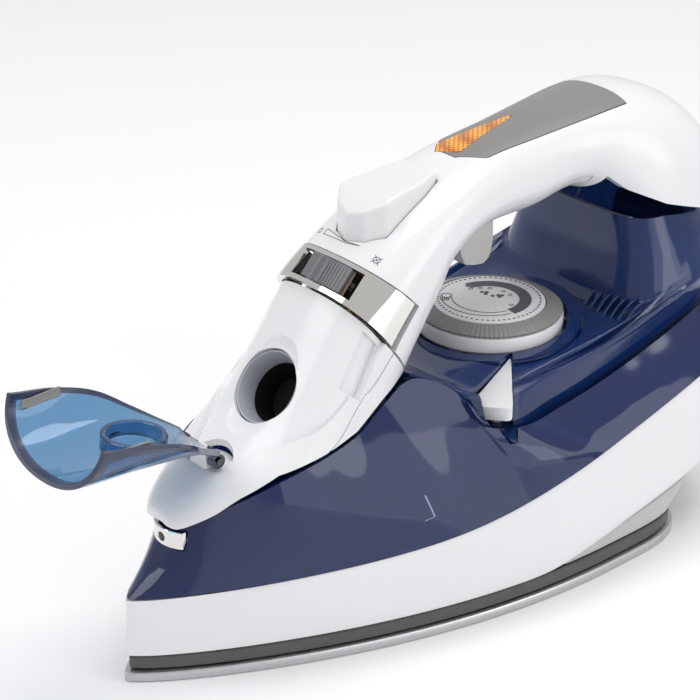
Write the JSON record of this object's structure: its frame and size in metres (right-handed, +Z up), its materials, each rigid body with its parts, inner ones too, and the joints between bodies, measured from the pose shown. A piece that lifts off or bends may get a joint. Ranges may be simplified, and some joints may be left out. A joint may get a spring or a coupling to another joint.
{
  "type": "steam clothes iron",
  "caption": "Household steam iron: pointed sole, clear blue water tank, arched white handle, open filler door, temperature dial, steam slider, spray button and steam trigger.",
  "frame": {"origin": "middle of the sole's flat underside", "axes": "+Z up from the sole to the handle, -Y towards the pointed nose, +Y towards the heel, +X to the side that carries the self-clean button"},
  "size_m": [0.122, 0.2946, 0.1613],
  "materials": {
    "white_plastic": "glossy white moulding",
    "pale_grey_plastic": "smooth pale grey",
    "grey_plastic": "satin mid grey",
    "dark_plastic": "satin near black",
    "blue_clear": "clear navy tint, glossy",
    "door_clear": "clear light blue, glossy",
    "amber_clear": "clear amber",
    "chrome_trim": "mirror plated",
    "sole_steel": "brushed",
    "plain_steel": "plain drawn steel",
    "cast_aluminium": "as cast",
    "brass_part": "turned",
    "seal_rubber": "soft grey"
  },
  "bodies": {
    "body": {"soleplate": "sole_steel", "heat_shield": "dark_plastic", "heating_element": "plain_steel", "heater_casting": "cast_aluminium", "chamber_cover": "cast_aluminium", "chamber_seal": "seal_rubber", "chamber_screw_1": "plain_steel", "chamber_screw_2": "plain_steel", "skirt_shell": "white_plastic", "heel_skirt": "pale_grey_plastic", "chrome_band": "chrome_trim", "slider_track": "dark_plastic", "valve_seat": "seal_rubber", "tank_shell": "blue_clear", "tank_floor": "blue_clear", "filler_panel": "white_plastic", "handle_shell": "white_plastic", "grip_shell": "white_plastic", "grip_insert": "grey_plastic", "indicator_lens": "amber_clear", "indicator_lamp": "amber_clear", "upper_housing": "blue_clear", "clean_niche": "blue_clear", "spray_pump": "pale_grey_plastic", "spray_spring": "plain_steel", "trigger_pin": "plain_steel", "steam_pump": "pale_grey_plastic", "trigger_spring": "plain_steel", "clean_spring": "plain_steel", "hinge_pin": "dark_plastic", "filler_seal": "seal_rubber", "thermostat_body": "pale_grey_plastic", "dial_collar": "blue_clear", "nozzle_plate": "chrome_trim", "spray_nozzle": "dark_plastic", "spray_tube": "pale_grey_plastic", "steam_tube": "pale_grey_plastic", "thermal_fuse": "pale_grey_plastic", "terminal_block": "pale_grey_plastic", "rear_cover": "dark_plastic", "rear_screw_1": "plain_steel", "rear_screw_2": "plain_steel", "rear_screw_3": "plain_steel"},
    "door": {"fill_door": "door_clear", "door_grip_left": "grey_plastic", "door_grip_right": "grey_plastic"},
    "slider": {"steam_slider": "grey_plastic", "dosing_rod": "brass_part"},
    "needle": {"dosing_needle": "brass_part"},
    "spray_key": {"spray_button": "white_plastic"},
    "trigger": {"steam_trigger": "grey_plastic"},
    "piston": {"steam_piston": "dark_plastic"},
    "dial": {"dial_knob": "white_plastic", "dial_ring": "grey_plastic", "dial_face": "white_plastic", "thermostat_shaft": "brass_part"},
    "clean_key": {"self_clean_button": "white_plastic"},
    "swivel": {"cord_swivel": "dark_plastic"}
  },
  "joints": [
    {"name": "door_hinge", "type": "hinge", "parent": "body", "child": "door", "pos_m": [0, -0.0768, 0.0751], "axis": [-1, 0, 0], "range_deg": [0, 122]},
    {"name": "slider_turn", "type": "hinge", "parent": "body", "child": "slider", "pos_m": [0, -0.0082, 0.11068], "axis": [0, 0.6834, 0.7301], "range_deg": [-24, 9]},
    {"name": "needle_lift", "type": "slide", "parent": "body", "child": "needle", "axis": [0, 0.6834, 0.7301], "range_m": [-0.0025, 0.0012]},
    {"name": "spray_press", "type": "slide", "parent": "body", "child": "spray_key", "axis": [0, 0, -1], "range_m": [0, 0.003], "stiffness_N_per_m": 600, "springref_m": -0.0015, "deforming": ["spray_spring"]},
    {"name": "trigger_pull", "type": "hinge", "parent": "body", "child": "trigger", "pos_m": [0, 0.029, 0.1285], "axis": [1, 0, 0], "range_deg": [0, 10], "stiffness_Nm_per_rad": 0.25, "springref_deg": -5.73},
    {"name": "piston_push", "type": "slide", "parent": "body", "child": "piston", "axis": [0, 0, 1], "range_m": [0, 0.0033], "deforming": ["trigger_spring"]},
    {"name": "dial_turn", "type": "hinge", "parent": "body", "child": "dial", "pos_m": [0, 0.055, 0.0812], "axis": [0, 0, 1], "range_deg": [0, 250]},
    {"name": "clean_press", "type": "slide", "parent": "body", "child": "clean_key", "axis": [0, 0, -1], "range_m": [0, 0.003], "stiffness_N_per_m": 500, "springref_m": -0.0015, "deforming": ["clean_spring"]},
    {"name": "cord_turn", "type": "hinge", "parent": "body", "child": "swivel", "pos_m": [0, 0.143, 0.129], "axis": [0, 0.8645, 0.5026], "continuous": true}
  ],
  "couplings": [
    {"joint": "needle_lift", "follows": "slider_turn", "m_per_rad": 0.0045},
    {"joint": "piston_push", "follows": "trigger_pull", "m_per_rad": 0.018}
  ]
}
